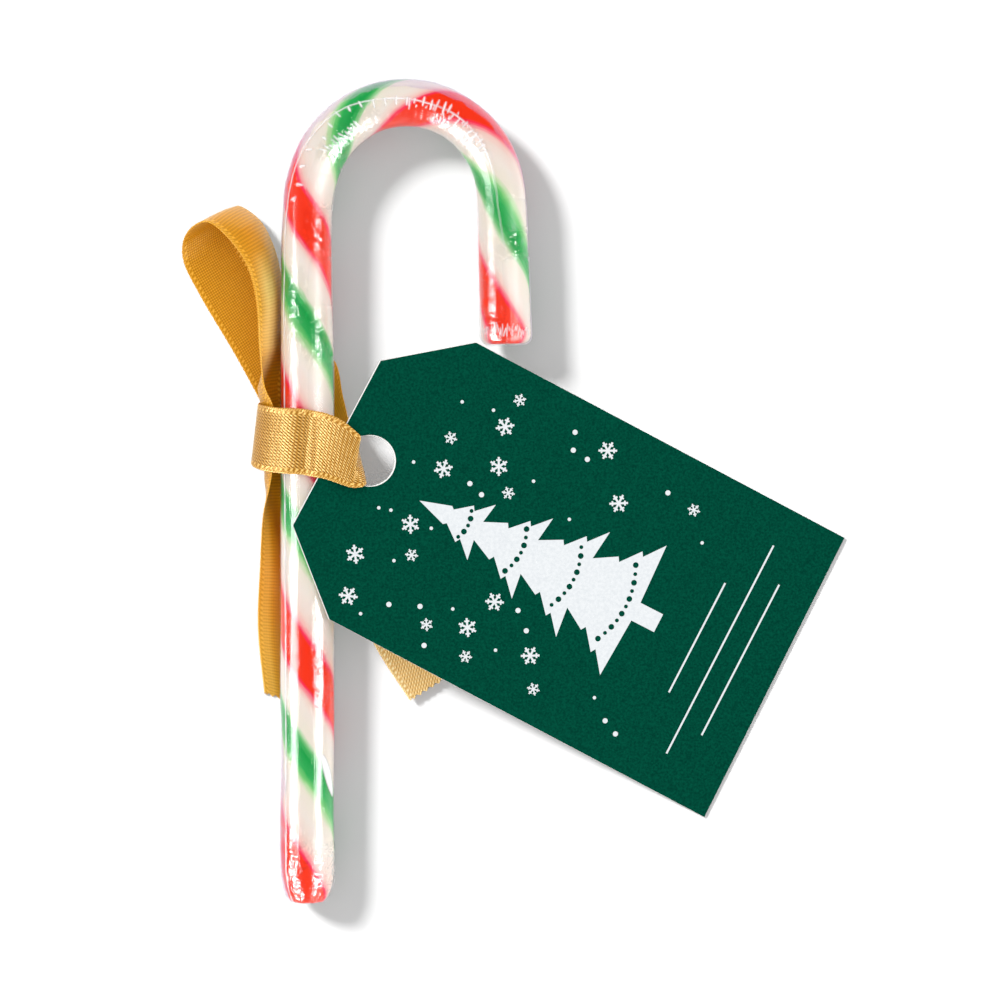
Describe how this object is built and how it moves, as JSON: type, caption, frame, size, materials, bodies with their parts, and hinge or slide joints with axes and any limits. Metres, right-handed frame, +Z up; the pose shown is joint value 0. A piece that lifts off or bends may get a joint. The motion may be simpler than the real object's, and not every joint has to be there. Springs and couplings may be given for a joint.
{
  "type": "candy cane",
  "caption": "Peppermint candy cane in a clear film sleeve, lying flat, with a card gift tag tied on by a gold satin ribbon bow.",
  "frame": {"origin": "on the resting surface, under the middle of the whole piece", "axes": "+Z up out of the shown side, +Y along the cane from its foot to the crown of the hook, +X towards the tag's free end"},
  "size_m": [0.1136, 0.1397, 0.0113],
  "materials": {
    "candy": "gloss",
    "card": "matt",
    "satin": "satin"
  },
  "bodies": {
    "root": {"wrapped_cane": "candy", "gift_tag": "card", "ribbon": "satin"}
  },
  "joints": []
}
